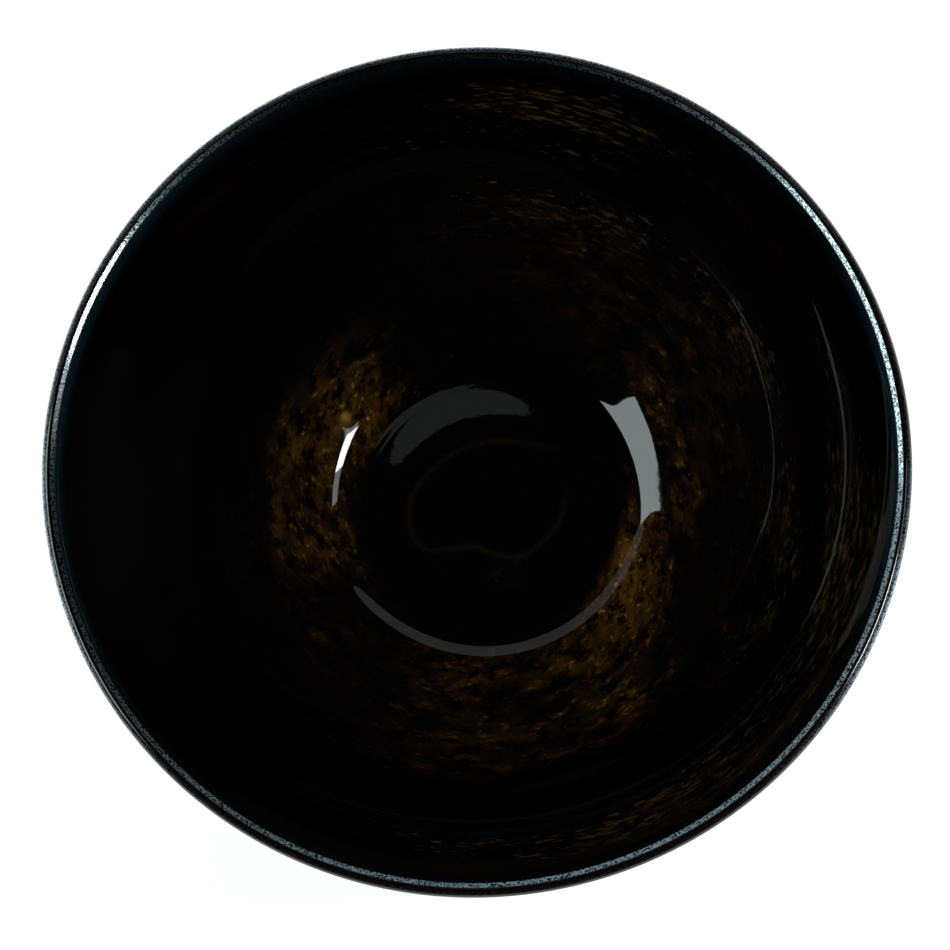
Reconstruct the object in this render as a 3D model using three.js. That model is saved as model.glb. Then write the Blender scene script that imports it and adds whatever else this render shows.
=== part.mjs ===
// A thrown stoneware bowl: one vessel of revolution standing on a turned foot
// ring, wide open at the top and hollow. Millimetres, +Z up, standing on z = 0,
// with its axis along Z.
import * as THREE from 'three';

// Overall sizes.
const RIM_DIAMETER = 180;      // outside the lip at its widest
const INNER_DEPTH = 54.5;      // from the crown of the lip down to the floor inside
const FLOOR_THICKNESS = 6.5;   // clay between the floor inside and the recess below
const FOOT_RECESS = 7;         // depth of the turned recess inside the foot ring

// The floor inside, and the bend from it up into the wall.
const FLOOR_DIAMETER = 56;     // the level floor where the glaze pools
const BEND_WIDTH = 8;          // radial width of the bend
const BEND_RISE = 1.9;         // height gained over the bend

// The wall, as the slopes and pulls of one long curve inside and one outside.
const SLOPE_LOW = 27;          // degrees from level where the wall leaves the bend
const SLOPE_HIGH = 70;         // degrees from level just below the lip
const PULL_LOW = 0.4;          // how far the low slope carries, as a share of the span
const PULL_HIGH = 0.36;        // how far the high slope carries, as a share of the span
const WALL_FOOT = 5.4;         // wall thickness where it leaves the bend

// The lip: a small round outside and a longer, softer one inside.
const LIP_OUTER_ROUND = 1.6;   // radius of the outer round
const LIP_INNER_WIDTH = 2.1;   // how far the inner round reaches in from the crown
const LIP_INNER_FALL = 2.7;    // how far the inner round reaches down from the crown

// The foot ring.
const FOOT_DIAMETER = 66;      // outside the foot ring
const FOOT_RING_WIDTH = 5;     // radial width of the ring's underside and edges
const FOOT_EDGE = 0.8;         // radius of the ring's two lower edges
const FOOT_FILLET = 1.6;       // blend from the foot ring into the wall
const RECESS_FILLET = 2;       // blend from the ring into the recess

// How finely the turned shape is cut up.
const SEGMENTS_AROUND = 80;
const WALL_STEPS = 11;
const BEND_STEPS = 4;
const ROUND_STEPS = 4;
const EDGE_STEPS = 2;

// Levels and radii that follow from the sizes above.
const RIM_RADIUS = RIM_DIAMETER / 2;
const FLOOR_RADIUS = FLOOR_DIAMETER / 2;
const FLOOR_LEVEL = FOOT_RECESS + FLOOR_THICKNESS;
const HEIGHT = FLOOR_LEVEL + INNER_DEPTH;
const FOOT_RADIUS = FOOT_DIAMETER / 2;
const RING_INNER_RADIUS = FOOT_RADIUS - FOOT_RING_WIDTH;

// A point of the profile: radius from the axis, height above the table.
const at = (radius, height) => new THREE.Vector2(radius, height);

// The upward direction of a wall that leans at a slope from level.
function along(slope) {
  const angle = THREE.MathUtils.degToRad(slope);
  return at(Math.cos(angle), Math.sin(angle));
}

// The direction out of the bowl, square to a wall at that slope.
function outOf(slope) {
  const angle = THREE.MathUtils.degToRad(slope);
  return at(Math.sin(angle), -Math.cos(angle));
}

// Points of an ellipse's arc about a centre, angles in degrees from +radius.
function arc(centre, width, height, from, to, steps) {
  const points = [];
  for (let i = 0; i <= steps; i += 1) {
    const angle = THREE.MathUtils.degToRad(from + (to - from) * (i / steps));
    points.push(at(centre.x + width * Math.cos(angle), centre.y + height * Math.sin(angle)));
  }
  return points;
}

// A long wall curve that leaves one point at a low slope and reaches another at
// a high one, drawn from the low end to the high end.
function wallCurve(low, high) {
  const span = low.distanceTo(high);
  const lowHandle = low.clone().addScaledVector(along(SLOPE_LOW), PULL_LOW * span);
  const highHandle = high.clone().addScaledVector(along(SLOPE_HIGH), -PULL_HIGH * span);
  return new THREE.CubicBezierCurve(low, lowHandle, highHandle, high).getPoints(WALL_STEPS);
}

// The lip, from the outside over the crown to the inside. Its two arcs end
// where they lie at the slope of the wall below them.
function lipPoints() {
  const crownRadius = RIM_RADIUS - LIP_OUTER_ROUND;
  const outerCentre = at(crownRadius, HEIGHT - LIP_OUTER_ROUND);
  const outer = arc(outerCentre, LIP_OUTER_ROUND, LIP_OUTER_ROUND, SLOPE_HIGH - 90, 90, ROUND_STEPS);
  const innerCentre = at(crownRadius, HEIGHT - LIP_INNER_FALL);
  const steep = Math.tan(THREE.MathUtils.degToRad(SLOPE_HIGH));
  const short = THREE.MathUtils.radToDeg(Math.atan(LIP_INNER_FALL / (LIP_INNER_WIDTH * steep)));
  const inner = arc(innerCentre, LIP_INNER_WIDTH, LIP_INNER_FALL, 90, 180 - short, ROUND_STEPS);
  return [...outer, ...inner.slice(1)];
}

// The wall outside, cut off where it meets the foot ring. Its first point is
// the corner at the foot ring's radius, its second the end of the blend.
function outerWallPoints(wallStart, lipStart) {
  const low = wallStart.clone().addScaledVector(outOf(SLOPE_LOW), WALL_FOOT);
  const run = low.clone().addScaledVector(along(SLOPE_LOW), -low.x);
  const whole = [run, ...wallCurve(low, lipStart)];
  const heightAt = (radius) => {
    const i = whole.findIndex((point) => point.x > radius);
    const share = (radius - whole[i - 1].x) / (whole[i].x - whole[i - 1].x);
    return THREE.MathUtils.lerp(whole[i - 1].y, whole[i].y, share);
  };
  const blendRadius = FOOT_RADIUS + FOOT_FILLET;
  const kept = whole.filter((point) => point.x > blendRadius + FOOT_FILLET / 2);
  return [at(FOOT_RADIUS, heightAt(FOOT_RADIUS)), at(blendRadius, heightAt(blendRadius)), ...kept];
}

// The underside: the recess, the foot ring and the blend into the wall.
function footPoints(corner, blendEnd) {
  const recessCorner = at(RING_INNER_RADIUS - RECESS_FILLET, FOOT_RECESS - RECESS_FILLET);
  const innerEdge = at(RING_INNER_RADIUS + FOOT_EDGE, FOOT_EDGE);
  const outerEdge = at(FOOT_RADIUS - FOOT_EDGE, FOOT_EDGE);
  const blendStart = at(FOOT_RADIUS, corner.y - FOOT_FILLET);
  const blend = new THREE.QuadraticBezierCurve(blendStart, corner, blendEnd);
  return [
    at(0, FOOT_RECESS),
    at(recessCorner.x / 2, FOOT_RECESS),
    ...arc(recessCorner, RECESS_FILLET, RECESS_FILLET, 90, 0, EDGE_STEPS),
    ...arc(innerEdge, FOOT_EDGE, FOOT_EDGE, 180, 270, EDGE_STEPS),
    ...arc(outerEdge, FOOT_EDGE, FOOT_EDGE, -90, 0, EDGE_STEPS),
    ...blend.getPoints(EDGE_STEPS + 1).slice(0, -1),
  ];
}

// The bend and the floor inside, from the top of the bend in to the axis.
function floorPoints(wallStart) {
  const floorEdge = at(FLOOR_RADIUS, FLOOR_LEVEL);
  const turn = at(wallStart.x - BEND_RISE / Math.tan(THREE.MathUtils.degToRad(SLOPE_LOW)), FLOOR_LEVEL);
  const bend = new THREE.QuadraticBezierCurve(wallStart, turn, floorEdge);
  return [...bend.getPoints(BEND_STEPS), at(FLOOR_RADIUS / 2, FLOOR_LEVEL), at(0, FLOOR_LEVEL)];
}

// The closed profile: out along the underside, up outside, over the lip, down
// inside and back in along the floor.
function bowlProfile() {
  const lip = lipPoints();
  const wallStart = at(FLOOR_RADIUS + BEND_WIDTH, FLOOR_LEVEL + BEND_RISE);
  const outside = outerWallPoints(wallStart, lip[0]);
  const inside = wallCurve(wallStart, lip[lip.length - 1]).reverse();
  return [
    ...footPoints(outside[0], outside[1]),
    ...outside.slice(1, -1),
    ...lip,
    ...inside.slice(1, -1),
    ...floorPoints(wallStart),
  ];
}

const glaze = new THREE.MeshStandardMaterial({
  name: 'glaze',
  color: new THREE.Color(0.014, 0.009, 0.006),
  roughness: 0.08,
  metalness: 0,
});

const bowlGeometry = new THREE.LatheGeometry(bowlProfile(), SEGMENTS_AROUND);
bowlGeometry.rotateX(Math.PI / 2);
const bowl = new THREE.Mesh(bowlGeometry, glaze);
bowl.name = 'bowl';

const part = new THREE.Group();
part.name = 'glazed_bowl';
part.add(bowl);

export default part;
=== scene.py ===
"""A thrown stoneware bowl in a near-black glaze, seen from above on a pale studio floor.

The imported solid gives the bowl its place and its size. Here the bowl is turned again as one fine
mesh on the same profile, with what the solid leaves out: the dished floor and the throwing spiral
on it, the soft shoulder of the wall, the bevel of the lip, a rim a little out of round, soft waves
and turning marks outside, and the rolled edge of the glaze above the bare foot. One procedural
finish carries the glaze, the lip and the clay. It follows marks that the vertices carry.
"""

import logging
import math
from dataclasses import dataclass, field
from enum import Enum

import bmesh
import bpy
from mathutils import Matrix, Quaternion, Vector


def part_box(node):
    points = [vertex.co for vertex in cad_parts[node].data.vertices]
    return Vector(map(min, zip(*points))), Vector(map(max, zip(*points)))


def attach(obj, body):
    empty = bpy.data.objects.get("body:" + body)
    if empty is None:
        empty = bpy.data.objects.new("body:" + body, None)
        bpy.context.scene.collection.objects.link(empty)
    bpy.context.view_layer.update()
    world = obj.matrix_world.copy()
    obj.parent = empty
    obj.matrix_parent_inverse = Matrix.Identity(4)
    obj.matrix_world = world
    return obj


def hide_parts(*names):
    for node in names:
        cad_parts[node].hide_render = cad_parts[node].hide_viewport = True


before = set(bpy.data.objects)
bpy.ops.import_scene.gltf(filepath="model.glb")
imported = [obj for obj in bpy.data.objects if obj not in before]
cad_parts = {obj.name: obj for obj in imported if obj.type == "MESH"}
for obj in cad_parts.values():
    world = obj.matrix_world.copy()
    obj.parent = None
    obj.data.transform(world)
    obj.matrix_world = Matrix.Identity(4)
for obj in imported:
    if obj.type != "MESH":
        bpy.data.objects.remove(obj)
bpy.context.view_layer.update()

FLECK_GROUP = "glaze flecks"
FLECK_DETAIL = 3.0
FLECK_BREAKUP = 0.62
MM = 0.001
TURN = 2.0 * math.pi
MERGE_DISTANCE = 0.01 * MM

# What an input of a shader node takes: the output of another node, or a plain value.
Socket = bpy.types.NodeSocket
Feed = Socket | float | tuple[float, ...]

log = logging.getLogger("bowl")


class Zone(Enum):
    """The stretches of the turned profile, from the middle of the floor round to the underside."""

    FLOOR = 0
    BEND = 1
    WALL = 2
    LIP = 3
    OUTSIDE = 4
    FOOT = 5


def smooth(value: float, low: float, high: float) -> float:
    """Ease from 0 to 1 as a value goes from low to high.

    Args:
        value: The value to grade.
        low: Where the step starts.
        high: Where the step ends; it may lie below low.

    Returns:
        The eased share.
    """
    share = min(1.0, max(0.0, (value - low) / (high - low)))
    return share * share * (3.0 - 2.0 * share)


def bell(value: float, centre: float, width: float) -> float:
    """Give a rounded bump of height 1 at a centre, gone by about two widths away."""
    return math.exp(-(((value - centre) / width) ** 2))


def lobe(angle: float, centre: float, spread: float) -> float:
    """Give a rounded bump of height 1 round a direction.

    Args:
        angle: The direction asked about, in degrees.
        centre: The direction of the bump, in degrees.
        spread: The angle at which the bump has fallen to about a third, in degrees.

    Returns:
        The height of the bump.
    """
    away = (angle - centre + 180.0) % 360.0 - 180.0
    return math.exp(-((away / spread) ** 2))


def bezier(points: list[Vector], steps: int) -> list[Vector]:
    """Draw a quadratic or cubic curve.

    Args:
        points: The three or four control points.
        steps: How many steps the curve takes.

    Returns:
        The points of the curve, both ends among them.
    """
    drawn = []
    for i in range(steps + 1):
        share = i / steps
        level = list(points)
        while len(level) > 1:
            level = [a.lerp(b, share) for a, b in zip(level, level[1:])]
        drawn.append(level[0])
    return drawn


def arc(
    centre: Vector, width: float, height: float, start: float, end: float, steps: int
) -> list[Vector]:
    """Draw a stretch of an ellipse.

    Args:
        centre: Its middle.
        width: Half of its level size.
        height: Half of its upright size.
        start: Where the stretch starts, in degrees from the outward direction.
        end: Where it ends.
        steps: How many steps it takes.

    Returns:
        The points of the stretch, both ends among them.
    """
    drawn = []
    for i in range(steps + 1):
        angle = math.radians(start + (end - start) * i / steps)
        drawn.append(centre + Vector((width * math.cos(angle), height * math.sin(angle))))
    return drawn


def along(slope: float) -> Vector:
    """Give the upward direction of a wall that leans at a slope in degrees from level."""
    return Vector((math.cos(math.radians(slope)), math.sin(math.radians(slope))))


def out_of(slope: float) -> Vector:
    """Give the direction out of the bowl, square to a wall at a slope in degrees from level."""
    return Vector((math.sin(math.radians(slope)), -math.cos(math.radians(slope))))


@dataclass(frozen=True)
class Station:
    """One ring of the turned bowl before its relief.

    Attributes:
        place: Distance from the axis and height, in metres.
        zone: The stretch of the profile that it belongs to.
        run: Distance along the surface from the crown of the lip, negative on the inside.
    """

    place: Vector
    zone: Zone
    run: float


@dataclass(frozen=True)
class ThrowingSpiral:
    """The ridge that the thrower's last touch left on the floor.

    Attributes:
        points: Radius in metres and clockwise direction in degrees of each point it passes.
        height: Its height above the floor.
        width: Half of its width.
        reach: How many half-widths away from its crest it still counts.
        fade: The length over which each end sinks into the floor.
        steps: Steps between one point and the next.
    """

    points: tuple[tuple[float, float], ...]
    height: float = 0.002 * MM
    width: float = 0.62 * MM
    reach: float = 3.0
    fade: float = 7.0 * MM
    steps: int = 9

    def path(self) -> list[tuple[Vector, float]]:
        """Draw the ridge as a smooth path.

        Returns:
            Points on the floor with the share of the height that the ridge has there.
        """
        knots = []
        for radius, angle in self.points:
            turn = math.radians(angle)
            knots.append(Vector((radius * math.cos(turn), -radius * math.sin(turn))))
        knots = [knots[0] * 2.0 - knots[1], *knots, knots[-1] * 2.0 - knots[-2]]
        drawn = []
        for a, b, c, d in zip(knots, knots[1:], knots[2:], knots[3:]):
            for i in range(self.steps):
                t = i / self.steps
                bend = (2.0 * a - 5.0 * b + 4.0 * c - d) * t * t + (3.0 * b - a - 3.0 * c + d) * t ** 3
                drawn.append(b + ((c - a) * t + bend) / 2.0)
        lengths = [0.0]
        for near, far in zip(drawn, drawn[1:]):
            lengths.append(lengths[-1] + (far - near).length)
        whole = lengths[-1]
        return [
            (point, smooth(run, 0.0, self.fade) * smooth(run, whole, whole - self.fade))
            for point, run in zip(drawn, lengths)
        ]


FLOOR_SPIRAL = (
    (21.5 * MM, 322.0),
    (17.6 * MM, 302.0),
    (15.6 * MM, 270.0),
    (15.2 * MM, 236.0),
    (16.4 * MM, 206.0),
    (17.8 * MM, 184.0),
    (17.9 * MM, 163.0),
    (16.4 * MM, 147.0),
    (11.4 * MM, 131.0),
    (8.8 * MM, 108.0),
    (10.2 * MM, 82.0),
    (13.0 * MM, 52.0),
    (15.4 * MM, 14.0),
    (17.0 * MM, 352.0),
    (18.6 * MM, 338.0),
)


@dataclass(frozen=True)
class Reach:
    """How far round the bowl something shows.

    Attributes:
        toward: Its middle in degrees, clockwise from +X as seen from above.
        spread: The angle at which it has fallen to about a third, in degrees.
        height: Its share at the middle.
    """

    toward: float
    spread: float
    height: float

    def at(self, angle: float) -> float:
        """Give its share in a direction in degrees."""
        return self.height * lobe(angle, self.toward, self.spread)


@dataclass(frozen=True)
class GlazePatch:
    """One stretch of the inside where the glaze shows amber, or dried dull.

    Attributes:
        inner: Distance from the axis where it starts.
        outer: Distance from the axis where it has gone.
        toward: Its direction in degrees, clockwise from +X as seen from above.
        spread: The angle at which it has fallen to about a third, in degrees.
        depth: How strong it is at its middle.
        soft: The width over which it starts. It ends over twice that width.
    """

    inner: float
    outer: float
    toward: float
    spread: float
    depth: float
    soft: float = 6.0 * MM

    def share(self, radius: float, angle: float) -> float:
        """Work out how strong the patch is at a place.

        Args:
            radius: Distance from the axis.
            angle: Direction in degrees.

        Returns:
            Its strength, from 0 to its depth.
        """
        rise = smooth(radius, self.inner, self.inner + self.soft)
        fall = smooth(radius, self.outer, self.outer - 2.0 * self.soft)
        return self.depth * rise * fall * lobe(angle, self.toward, self.spread)


@dataclass(frozen=True)
class AmberGlow:
    """How the amber is spread over the bowl.

    Attributes:
        patches: Where it shows inside: round the floor, in a band below the rim, and on the floor.
        deepest: The most that shows.
        inside_start: How far from the crown of the lip it is full inside.
        outside: How much of it shows outside.
        outside_start: How far from the crown it is full outside.
        glint_radius: Distance from the axis of the painted glint, a small spot of light painted into the
            glaze colour.
        glint_toward: Direction of the painted glint, in degrees.
        glint_width: Its half-width across the wall.
        glint_spread: Its half-width round the bowl, in degrees.
    """

    patches: tuple[GlazePatch, ...] = (
        GlazePatch(inner=27.0 * MM, outer=49.5 * MM, toward=24.0, spread=36.0, depth=1.12),
        GlazePatch(inner=27.0 * MM, outer=44.0 * MM, toward=32.0, spread=24.0, depth=0.8, soft=4.0 * MM),
        GlazePatch(inner=36.0 * MM, outer=49.0 * MM, toward=336.0, spread=24.0, depth=0.38),
        GlazePatch(inner=38.0 * MM, outer=76.0 * MM, toward=352.0, spread=56.0, depth=0.36),
        GlazePatch(inner=28.0 * MM, outer=66.0 * MM, toward=64.0, spread=36.0, depth=0.43),
        GlazePatch(inner=28.0 * MM, outer=70.0 * MM, toward=104.0, spread=42.0, depth=0.38),
        GlazePatch(inner=26.0 * MM, outer=55.0 * MM, toward=164.0, spread=30.0, depth=0.76),
        GlazePatch(inner=27.0 * MM, outer=56.0 * MM, toward=209.0, spread=25.0, depth=1.5),
        # This small patch raises the amber round the painted glint, to help it show.
        GlazePatch(inner=36.0 * MM, outer=46.0 * MM, toward=212.0, spread=9.0, depth=0.6, soft=2.0 * MM),
        GlazePatch(inner=33.0 * MM, outer=76.0 * MM, toward=308.0, spread=36.0, depth=0.26),
        GlazePatch(inner=44.0 * MM, outer=76.0 * MM, toward=272.0, spread=26.0, depth=0.28),
        GlazePatch(inner=71.5 * MM, outer=91.0 * MM, toward=16.0, spread=42.0, depth=0.46, soft=4.0 * MM),
        GlazePatch(inner=74.0 * MM, outer=90.0 * MM, toward=82.0, spread=42.0, depth=0.4, soft=3.6 * MM),
        GlazePatch(inner=70.0 * MM, outer=98.0 * MM, toward=284.0, spread=34.0, depth=0.46),
        GlazePatch(inner=52.0 * MM, outer=84.0 * MM, toward=28.0, spread=26.0, depth=0.14),
        GlazePatch(inner=49.0 * MM, outer=67.0 * MM, toward=176.0, spread=22.0, depth=0.28),
        GlazePatch(inner=11.0 * MM, outer=20.0 * MM, toward=76.0, spread=17.0, depth=0.5, soft=1.6 * MM),
    )
    deepest: float = 2.0
    inside_start: float = -9.0 * MM
    outside: float = 0.3
    outside_start: float = 12.0 * MM
    glint_radius: float = 38.2 * MM
    glint_toward: float = 212.8
    glint_width: float = 0.75 * MM
    glint_spread: float = 1.5

    def hot(self, radius: float, angle: float) -> float:
        """Give how much of the painted glint shows at a radius and a direction in degrees."""
        across = bell(radius, self.glint_radius, self.glint_width)
        return across * lobe(angle, self.glint_toward, self.glint_spread)

    def depth(self, zone: Zone, run: float, radius: float, angle: float) -> float:
        """Give how much amber shows at a place.

        Args:
            zone: The stretch of the profile.
            run: Distance from the crown of the lip along the surface.
            radius: Distance from the axis.
            angle: Direction in degrees, clockwise from +X as seen from above.

        Returns:
            The strength of the amber, 1 being well covered.
        """
        if zone in (Zone.OUTSIDE, Zone.FOOT):
            return self.outside * smooth(run, 0.0, self.outside_start)
        inside = sum(patch.share(radius, angle) for patch in self.patches)
        return min(self.deepest, inside * smooth(run, 0.0, self.inside_start))


@dataclass(frozen=True)
class LipGlaze:
    """Where the glaze breaks silver on the lip and blue just inside it, with the lamps' highlights and
    their glow painted in.

    Attributes:
        front: The long stretch of silver on the bevel: a real silver break, painted brighter as a sheen.
        painted_bevel_highlights: The short stretches of silver on the bevel: painted highlights where the
            lamps shine on the lip.
        outer_frost_and_reflection: The long stretch of silver over the outer edge: partly frost, partly a
            painted reflection of the room.
        painted_edge_highlights: The short stretches of silver over the outer edge: painted highlights of
            the lamps.
        outer_least: The silver that the outer edge has all round.
        blue: The stretches of blue inside the bevel beside the lamps' highlights: a painted glow.
        blue_least: The blue that shows all round.
    """

    front: Reach = Reach(50.0, 68.0, 1.15)
    painted_bevel_highlights: tuple[Reach, ...] = (Reach(207.0, 20.0, 0.75), Reach(338.0, 28.0, 0.9))
    outer_frost_and_reflection: Reach = Reach(245.0, 62.0, 0.95)
    painted_edge_highlights: tuple[Reach, ...] = (Reach(22.0, 14.0, 0.95), Reach(167.0, 19.0, 0.95))
    outer_least: float = 0.03
    blue: tuple[Reach, ...] = (Reach(198.0, 38.0, 0.9), Reach(352.0, 24.0, 0.9))
    blue_least: float = 0.12

    def frost(self, run: float, angle: float) -> float:
        """Work out how thick the silvery frost is, with the lamps' painted highlights on it.

        Args:
            run: Distance from the crown of the lip, negative on the inside.
            angle: Direction in degrees.

        Returns:
            The share of frost and painted highlight, from 0 to 1.
        """
        if run > 0.0:
            edges = max(reach.at(angle) for reach in self.painted_edge_highlights)
            return min(1.0, self.outer_least + self.outer_frost_and_reflection.at(angle) + edges)
        return min(1.0, self.front.at(angle) + max(reach.at(angle) for reach in self.painted_bevel_highlights))

    def teal(self, angle: float) -> float:
        """Give how much blue shows inside the bevel in a direction in degrees: a faint blue break all
        round, and a painted glow beside the lamps' highlights.
        """
        return min(1.0, self.blue_least + max(reach.at(angle) for reach in self.blue))


class Marks:
    """The marks that the vertices of the bowl carry for its finish."""

    def __init__(self, bm: bmesh.types.BMesh) -> None:
        """Find the marks of the turned profile and make room for the others.

        Args:
            bm: The turned mesh, which carries its zones and its runs.
        """
        floats = bm.verts.layers.float
        self.thin = floats.new("thin_glaze")
        self.amber = floats.new("amber")
        self.bare = floats.new("bare_clay")
        # Share of silver on the lip, with the lamps' highlights painted in.
        self.frost = floats.new("lip_frost_and_highlights")
        # Blue inside the lip, with a painted glow beside the lamps' highlights.
        self.teal = floats.new("lip_teal_and_glow")
        self.dull = floats.new("dull_glaze")
        # Mark of the painted glint on the wall.
        self.hot = floats.new("painted_glint")
        self.flow = bm.verts.layers.float_vector.new("glaze_flow")
        self.zone = bm.verts.layers.int["zone"]
        self.run = floats["glaze_run"]


@dataclass
class ThrownBowl:
    """The whole vessel: floor, wall, lip and foot ring, turned as one mesh.

    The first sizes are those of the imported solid, in metres. The others are the steps of the mesh
    and the relief that the solid leaves out.

    Attributes:
        pull_low: How far the wall holds its lower slope, as a share of its length.
        pull_high: How far it holds its upper slope.
        wall_foot: Thickness of the wall at its foot.
        bevel_start: How far inside the crown the bevel of the lip starts.
        bevel_drop: How far below the crown it starts.
        bevel_handle: How softly the wall turns into it.
        fall_pull: How far the wall runs on before it turns, as a share of the way to the bevel.
        crown_pull: How full the crown is above the bevel, as a share of its drop.
        spokes: Steps round the axis. The other steps are those along the profile.
        dish_fall: How far the middle of the floor lies below the floor's edge.
        pool_radius: Where the floor starts to turn up to its edge.
        pool_rim: How far it turns up there.
        bend_hold: Share of the bend over which the slope of the floor's edge runs on.
        bend_kink: Direction of the soft crease at the floor's edge, in degrees.
        shoulder_start: Distance from the axis where the wall starts to swell.
        shoulder_top: Where the swelling is full.
        shoulder_gone: Where it has gone.
        throwing_pitch: Distance from one throwing wave to the next, inside and outside.
        turning_pitch: Distance from one turning mark to the next, low down outside.
        glaze_stop: Height above the table at which the glaze stops.
        glaze_waver: How far that line wavers.
        glaze_waves: Share, number round the bowl and phase of each wave in it.
        glaze_depth: How far the clay lies below the glaze.
        glaze_roll: Half of the height over which the glaze rolls off.
        foot_fade: Height over which the clay comes out to the plain foot.
        oval_share: How far the rim is out of round, as a share of its radius.
        oval_long: The direction in which the rim is widest, in degrees.
        oval_waves: Shares of its waves that come twice, three times and five times round.
        flow_span: Shares of the floor's and the rim's radius between which the flecks draw out.
        flow_draw: How far the flecks of the upper wall are drawn out along the turning.
        flow_lean: How far they lean.
        dull: Where the glaze inside dried dull.
    """

    node: str = "bowl"
    floor_radius: float = 28.0 * MM
    bend_width: float = 8.0 * MM
    bend_rise: float = 1.9 * MM
    inner_depth: float = 54.5 * MM
    slope_low: float = 27.0
    slope_high: float = 70.0
    pull_low: float = 0.4
    pull_high: float = 0.36
    wall_foot: float = 5.4 * MM
    lip_outer_round: float = 1.6 * MM
    lip_inner_width: float = 2.1 * MM
    lip_inner_fall: float = 2.7 * MM
    bevel_start: float = 0.26 * MM
    bevel_drop: float = 0.06 * MM
    bevel_length: float = 1.2 * MM
    bevel_slope: float = 28.7
    bevel_handle: float = 0.12 * MM
    fall_pull: float = 0.45
    crown_pull: float = 0.3
    foot_radius: float = 33.0 * MM
    foot_ring_width: float = 5.0 * MM
    foot_edge: float = 0.8 * MM
    foot_fillet: float = 1.6 * MM
    foot_recess: float = 7.0 * MM
    recess_fillet: float = 2.0 * MM
    spokes: int = 320
    floor_steps: int = 48
    bend_steps: int = 14
    wall_steps: int = 90
    outside_steps: int = 66
    round_steps: int = 12
    bevel_steps: int = 5
    crown_steps: int = 6
    foot_steps: int = 4
    dish_fall: float = 0.627 * MM
    pool_radius: float = 21.0 * MM
    pool_rim: float = 0.16 * MM
    bend_hold: float = 0.7
    bend_kink: float = 212.0
    kink_spread: float = 17.0
    shoulder_start: float = 39.0 * MM
    shoulder_top: float = 47.5 * MM
    shoulder_gone: float = 80.0 * MM
    shoulder_rise: float = 0.3 * MM
    throwing_pitch: float = 7.0 * MM
    throwing_depth: float = 0.004 * MM
    throwing_from: tuple[float, float] = (40.0 * MM, 52.0 * MM)
    throwing_to: tuple[float, float] = (85.0 * MM, 80.0 * MM)
    outer_waves: float = 0.03 * MM
    turning_pitch: float = 1.9 * MM
    turning_depth: float = 0.05 * MM
    turned_below: tuple[float, float] = (30.0 * MM, 14.0 * MM)
    glaze_stop: float = 5.0 * MM
    glaze_waver: float = 1.1 * MM
    glaze_waves: tuple[tuple[float, float, float], ...] = (
        (0.5, 2.0, 0.7),
        (0.3, 5.0, 2.1),
        (0.2, 11.0, 0.0),
    )
    glaze_depth: float = 0.3 * MM
    glaze_roll: float = 0.25 * MM
    foot_fade: float = 2.0 * MM
    oval_share: float = 0.0034
    oval_long: float = 20.0
    oval_waves: tuple[float, float, float] = (0.92, 0.05, 0.03)
    flow_span: tuple[float, float] = (0.3, 0.95)
    flow_draw: float = 0.78
    flow_lean: float = 1.1
    spiral: ThrowingSpiral = ThrowingSpiral(points=FLOOR_SPIRAL)
    dull: tuple[GlazePatch, ...] = (
        GlazePatch(inner=62.0 * MM, outer=98.0 * MM, toward=170.0, spread=38.0, depth=1.0, soft=5.0 * MM),
    )
    dull_from: tuple[float, float] = (-3.0 * MM, -6.0 * MM)
    amber: AmberGlow = AmberGlow()
    lip_glaze: LipGlaze = LipGlaze()
    rim_radius: float = field(init=False)
    height: float = field(init=False)
    floor_level: float = field(init=False)

    def __post_init__(self) -> None:
        """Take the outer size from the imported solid."""
        low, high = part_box(self.node)
        self.rim_radius = (high[0] - low[0]) / 2.0
        self.height = high[2]
        self.floor_level = self.height - self.inner_depth

    def wall_curve(self, low: Vector, high: Vector, steps: int) -> list[Vector]:
        """Draw the long curve of the wall between two points.

        Args:
            low: Its lower end.
            high: Its upper end.
            steps: How many steps it takes.

        Returns:
            The points of the curve, the lower end first.
        """
        span = (high - low).length
        low_handle = low + along(self.slope_low) * (self.pull_low * span)
        high_handle = high - along(self.slope_high) * (self.pull_high * span)
        return bezier([low, low_handle, high_handle, high], steps)

    def lip_curves(self) -> tuple[list[Vector], list[Vector]]:
        """Draw the inner and the outer round of the lip.

        Returns:
            The inner round from the wall up to the crown, and the outer round down from it.
        """
        crown = self.rim_radius - self.lip_outer_round
        steep = math.tan(math.radians(self.slope_high))
        short = math.degrees(math.atan(self.lip_inner_fall / (self.lip_inner_width * steep)))
        inner_centre = Vector((crown, self.height - self.lip_inner_fall))
        low = arc(inner_centre, self.lip_inner_width, self.lip_inner_fall, 180.0 - short, 90.0, 1)[0]
        top = Vector((crown, self.height))
        bevel_top = top - Vector((self.bevel_start, self.bevel_drop))
        bevel_low = bevel_top - along(self.bevel_slope) * self.bevel_length
        fall = low + along(self.slope_high) * (self.fall_pull * (bevel_low - low).length)
        bevel_handle = bevel_low - along(self.bevel_slope) * self.bevel_handle
        crown_handle = bevel_top.lerp(top, 0.5) + Vector((0.0, self.crown_pull * self.bevel_drop))
        inner = [
            *bezier([low, fall, bevel_handle, bevel_low], self.round_steps),
            *bezier([bevel_low, bevel_top], self.bevel_steps)[1:],
            *bezier([bevel_top, crown_handle, top], self.crown_steps)[1:],
        ]
        outer_centre = Vector((crown, self.height - self.lip_outer_round))
        size = self.lip_outer_round
        outer = arc(outer_centre, size, size, 90.0, self.slope_high - 90.0, self.round_steps)
        return inner, outer

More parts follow.
